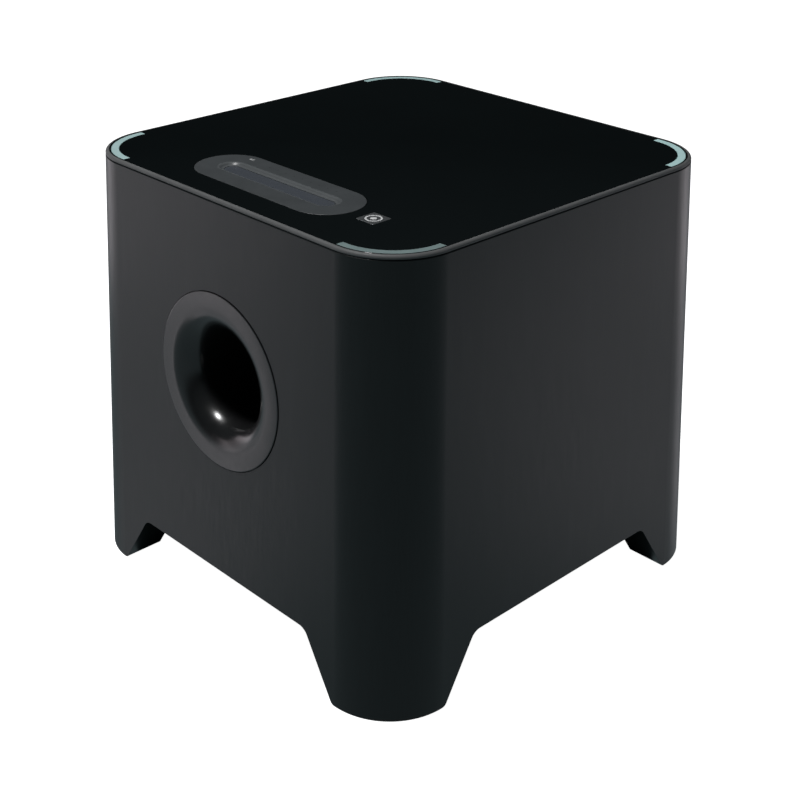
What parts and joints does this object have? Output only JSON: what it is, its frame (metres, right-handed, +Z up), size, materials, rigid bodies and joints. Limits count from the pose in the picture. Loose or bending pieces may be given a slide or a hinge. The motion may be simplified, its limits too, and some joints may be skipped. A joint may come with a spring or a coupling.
{
  "type": "subwoofer",
  "caption": "Cube-shaped powered subwoofer on four corner legs, with a flared front bass port, a down-firing woofer and a touch strip in its glossy top.",
  "frame": {"origin": "on the floor, below the centre of the cabinet's footprint", "axes": "+Z up; -Y out of the bass port (front); +Y out of the amplifier plate (rear); +X to the right seen from the front"},
  "size_m": [0.332, 0.332, 0.306],
  "materials": {
    "cabinet_black": "satin black fine-grained wrap on MDF",
    "mdf": "bare MDF board",
    "gloss_black": "mirror-gloss black acrylic",
    "rim_black": "satin black moulding",
    "control_grey": "satin graphite grey moulding",
    "strip_grey": "smoked translucent touch strip",
    "light_teal": "frosted pale teal light guide",
    "badge_metal": "satin grey metal",
    "port_black": "satin black moulding",
    "cone_paper": "black pressed paper",
    "rubber": "black rubber",
    "black_steel": "black powder coat",
    "zinc_steel": "zinc plated steel",
    "ferrite": "sintered ferrite",
    "copper": "enamelled copper wire",
    "spider_cloth": "resin-set woven cloth",
    "foam": "closed-cell foam",
    "wadding": "polyester wadding",
    "circuit_green": "solder-masked glass laminate",
    "aluminium": "plain aluminium",
    "black_plastic": "black moulded plastic",
    "transformer_yellow": "yellow tape over copper windings on a steel core",
    "capacitor_sleeve": "dark blue sleeve",
    "wire_black": "black cable sheath",
    "jack_plating": "gold-coloured plating"
  },
  "bodies": {
    "cabinet": {"cabinet_shell": "cabinet_black", "bottom_baffle": "mdf", "cabinet_brace": "mdf", "damping_lining": "wadding", "foot_pad_front_left": "rubber", "foot_pad_front_right": "rubber", "foot_pad_rear_left": "rubber", "foot_pad_rear_right": "rubber", "top_frame": "rim_black", "top_panel": "gloss_black", "corner_light_front_left": "light_teal", "corner_light_front_right": "light_teal", "corner_light_rear_left": "light_teal", "corner_light_rear_right": "light_teal", "emblem_badge": "badge_metal", "control_panel": "control_grey", "touch_strip": "strip_grey", "control_board": "circuit_green", "port_flange": "port_black", "port_tube": "port_black", "port_inner_flare": "port_black", "woofer_basket": "black_steel", "woofer_gasket": "foam", "woofer_screw_1": "black_steel", "woofer_screw_2": "black_steel", "woofer_screw_3": "black_steel", "woofer_screw_4": "black_steel", "woofer_terminal": "black_plastic", "woofer_top_plate": "zinc_steel", "woofer_magnet": "ferrite", "woofer_yoke": "zinc_steel", "amp_gasket": "foam", "amp_plate": "black_steel", "amp_screw_1": "black_steel", "amp_screw_2": "black_steel", "amp_screw_3": "black_steel", "amp_screw_4": "black_steel", "level_potentiometer": "zinc_steel", "crossover_potentiometer": "zinc_steel", "phase_switch_body": "zinc_steel", "line_jack_left": "jack_plating", "line_jack_right": "jack_plating", "power_inlet": "black_plastic", "power_switch_body": "black_plastic", "amp_board": "circuit_green", "amp_heat_sink": "aluminium", "power_transformer": "transformer_yellow", "filter_capacitor_1": "capacitor_sleeve", "filter_capacitor_2": "capacitor_sleeve", "wiring_harness": "wire_black"},
    "cone": {"woofer_cone": "cone_paper", "woofer_dust_cap": "cone_paper", "voice_coil_former": "aluminium", "voice_coil": "copper", "woofer_surround": "rubber", "woofer_spider": "spider_cloth"},
    "power_rocker": {"power_rocker": "black_plastic"},
    "level_knob": {"level_knob": "black_plastic"},
    "crossover_knob": {"crossover_knob": "black_plastic"},
    "phase_slider": {"phase_slider": "black_plastic"}
  },
  "joints": [
    {"name": "cone_stroke", "type": "slide", "parent": "cabinet", "child": "cone", "axis": [0, 0, 1], "range_m": [-0.006, 0.006], "stiffness_N_per_m": 1500, "deforming": ["woofer_surround", "woofer_spider"]},
    {"name": "power_switch", "type": "hinge", "parent": "cabinet", "child": "power_rocker", "pos_m": [0.02, 0.15511, 0.1098], "axis": [-1, 0, 0], "range_deg": [0, 14]},
    {"name": "level_turn", "type": "hinge", "parent": "cabinet", "child": "level_knob", "pos_m": [0.045, 0.15522, 0.21993], "axis": [0, 0.9988, 0.049], "range_deg": [-150, 150]},
    {"name": "crossover_turn", "type": "hinge", "parent": "cabinet", "child": "crossover_knob", "pos_m": [-0.045, 0.15522, 0.21993], "axis": [0, 0.9988, 0.049], "range_deg": [-150, 150]},
    {"name": "phase_slide", "type": "slide", "parent": "cabinet", "child": "phase_slider", "axis": [-1, 0, 0], "range_m": [0, 0.004]}
  ]
}
